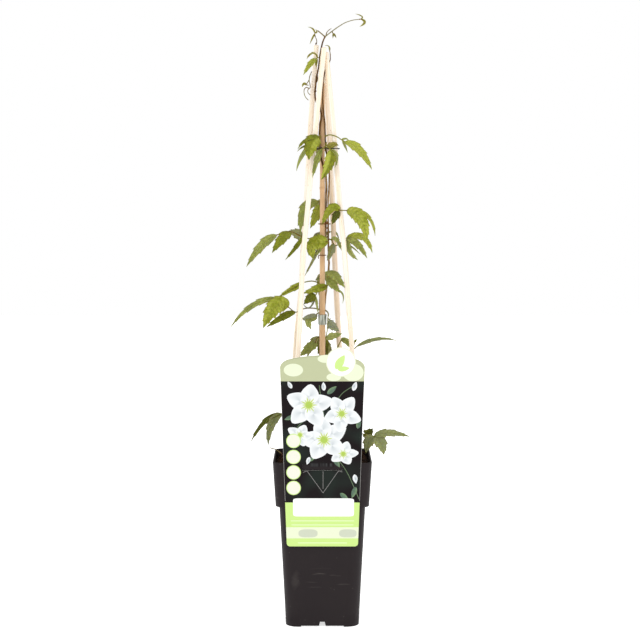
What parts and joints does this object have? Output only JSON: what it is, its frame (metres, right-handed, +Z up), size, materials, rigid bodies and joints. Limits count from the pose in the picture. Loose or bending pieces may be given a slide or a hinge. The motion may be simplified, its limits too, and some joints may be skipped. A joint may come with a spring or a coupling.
{
  "type": "clematis plant on a trellis",
  "caption": "Young climbing plant with toothed leaflets on twining stems, trained up a cane between leaning wooden slats in a tall square pot with a blank-faced label.",
  "frame": {"origin": "middle of the pot's underside, on the level of its feet", "axes": "+Z up along the cane, -Y towards the label on the pot's front wall, +X to the right seen from the front"},
  "size_m": [0.2267, 0.1468, 0.775],
  "materials": {
    "pot_plastic": "satin black moulded plastic",
    "compost": "dark moist compost",
    "bamboo": "smooth tan cane",
    "slat_wood": "bare planed softwood",
    "tie_wire": "grey-green coated wire",
    "woody_stem": "dull brown bark",
    "tape": "thin translucent grey tape",
    "printed_card": null,
    "young_leaf": "soft yellow-green young growth",
    "leaf": "semi-matt green leaf"
  },
  "bodies": {
    "root": {"pot": "pot_plastic", "soil": "compost", "cane": "bamboo", "slat_back_left": "slat_wood", "slat_front_left": "slat_wood", "slat_back_right": "slat_wood", "slat_front_right": "slat_wood", "wire_tie": "tie_wire", "cane_clip": "woody_stem", "cane_ring": "woody_stem", "cane_tape": "tape", "label": "printed_card", "stem_main": "woody_stem", "stem_second": "woody_stem", "leaf_tip_right": "young_leaf", "leaf_tip_left": "young_leaf", "leaf_tip_middle": "young_leaf", "leaf_crown_inner": "young_leaf", "leaf_crown_left": "leaf", "tendril_left": "young_leaf", "leaf_upper_left": "leaf", "leaf_upper_front": "leaf", "leaf_upper_inner": "leaf", "leaf_upper_right": "leaf", "leaf_upper_back": "leaf", "leaf_middle_left": "leaf", "leaf_middle_back": "leaf", "leaf_middle_right": "leaf", "leaf_centre_left": "leaf", "leaf_centre_front": "leaf", "leaf_centre_back": "leaf", "leaf_centre_inner": "leaf", "leaf_centre_right": "leaf", "leaf_lower_left": "leaf", "leaf_lower_left_broad": "leaf", "leaf_lower_front": "leaf", "leaf_lower_right": "leaf", "leaf_lower_back": "leaf", "leaf_low_left": "leaf", "leaf_low_right": "leaf", "leaf_low_dark": "leaf", "leaf_low_back": "leaf", "leaf_shoulder_right": "leaf", "leaf_collar_left": "leaf", "leaf_collar_right": "leaf", "leaf_back_left": "leaf", "leaf_back_right": "leaf", "twig": "woody_stem"}
  },
  "joints": []
}
